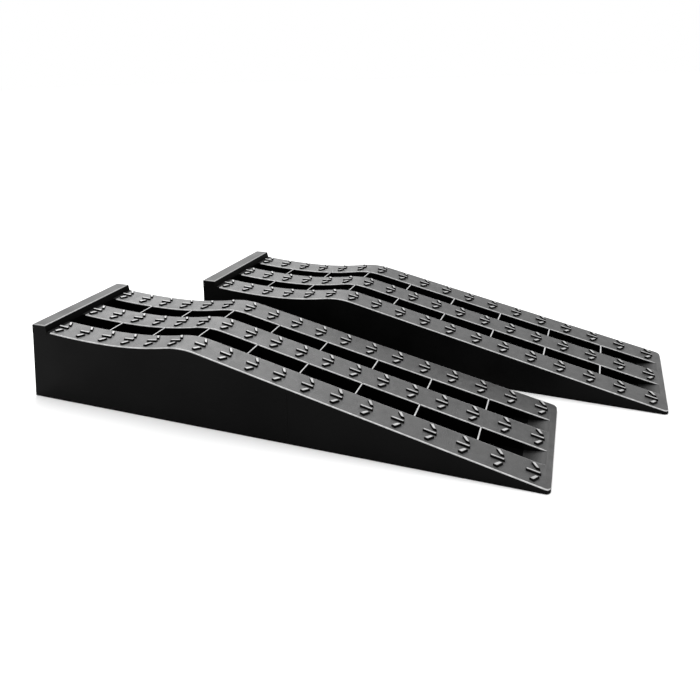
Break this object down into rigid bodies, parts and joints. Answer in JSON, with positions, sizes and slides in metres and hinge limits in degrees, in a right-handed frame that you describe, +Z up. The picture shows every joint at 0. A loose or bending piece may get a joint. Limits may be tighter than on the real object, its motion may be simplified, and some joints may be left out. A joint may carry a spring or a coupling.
{
  "type": "wheel ramp pair",
  "caption": "Pair of low-profile moulded wheel ramps: slotted ribbed treads rise to a shallow wheel cradle in front of a stop bar, with rubber grips underneath.",
  "frame": {"origin": "middle of the pair's footprint, on the ground", "axes": "+X from the stop bars towards the toes, +Y from the first ramp to the second, +Z up"},
  "size_m": [1.3952, 0.6668, 0.172],
  "materials": {
    "moulded_plastic": "black moulded plastic, fine grain on the treads, smoother outer walls",
    "stop_bar_plastic": "black moulded plastic, satin",
    "grip_rubber": "black rubber, dull",
    "rivet_plastic": "black plastic push rivets",
    "screw_steel": "zinc plated steel"
  },
  "bodies": {
    "ramp_a": {"ramp_a_deck": "moulded_plastic", "ramp_a_stop_bar": "stop_bar_plastic", "ramp_a_stop_bar_screws": "screw_steel", "ramp_a_grip_strip_near": "grip_rubber", "ramp_a_grip_strip_far": "grip_rubber", "ramp_a_grip_rivets_near": "rivet_plastic", "ramp_a_grip_rivets_far": "rivet_plastic", "ramp_a_toe_grip_pad": "grip_rubber"},
    "ramp_b": {"ramp_b_deck": "moulded_plastic", "ramp_b_stop_bar": "stop_bar_plastic", "ramp_b_stop_bar_screws": "screw_steel", "ramp_b_grip_strip_near": "grip_rubber", "ramp_b_grip_strip_far": "grip_rubber", "ramp_b_grip_rivets_near": "rivet_plastic", "ramp_b_grip_rivets_far": "rivet_plastic", "ramp_b_toe_grip_pad": "grip_rubber"}
  },
  "joints": [
    {"name": "ramp_b_placement", "type": "slide", "parent": "ramp_a", "child": "ramp_b", "axis": [0, 1, 0], "range_m": [-0.04, 1.2]}
  ]
}
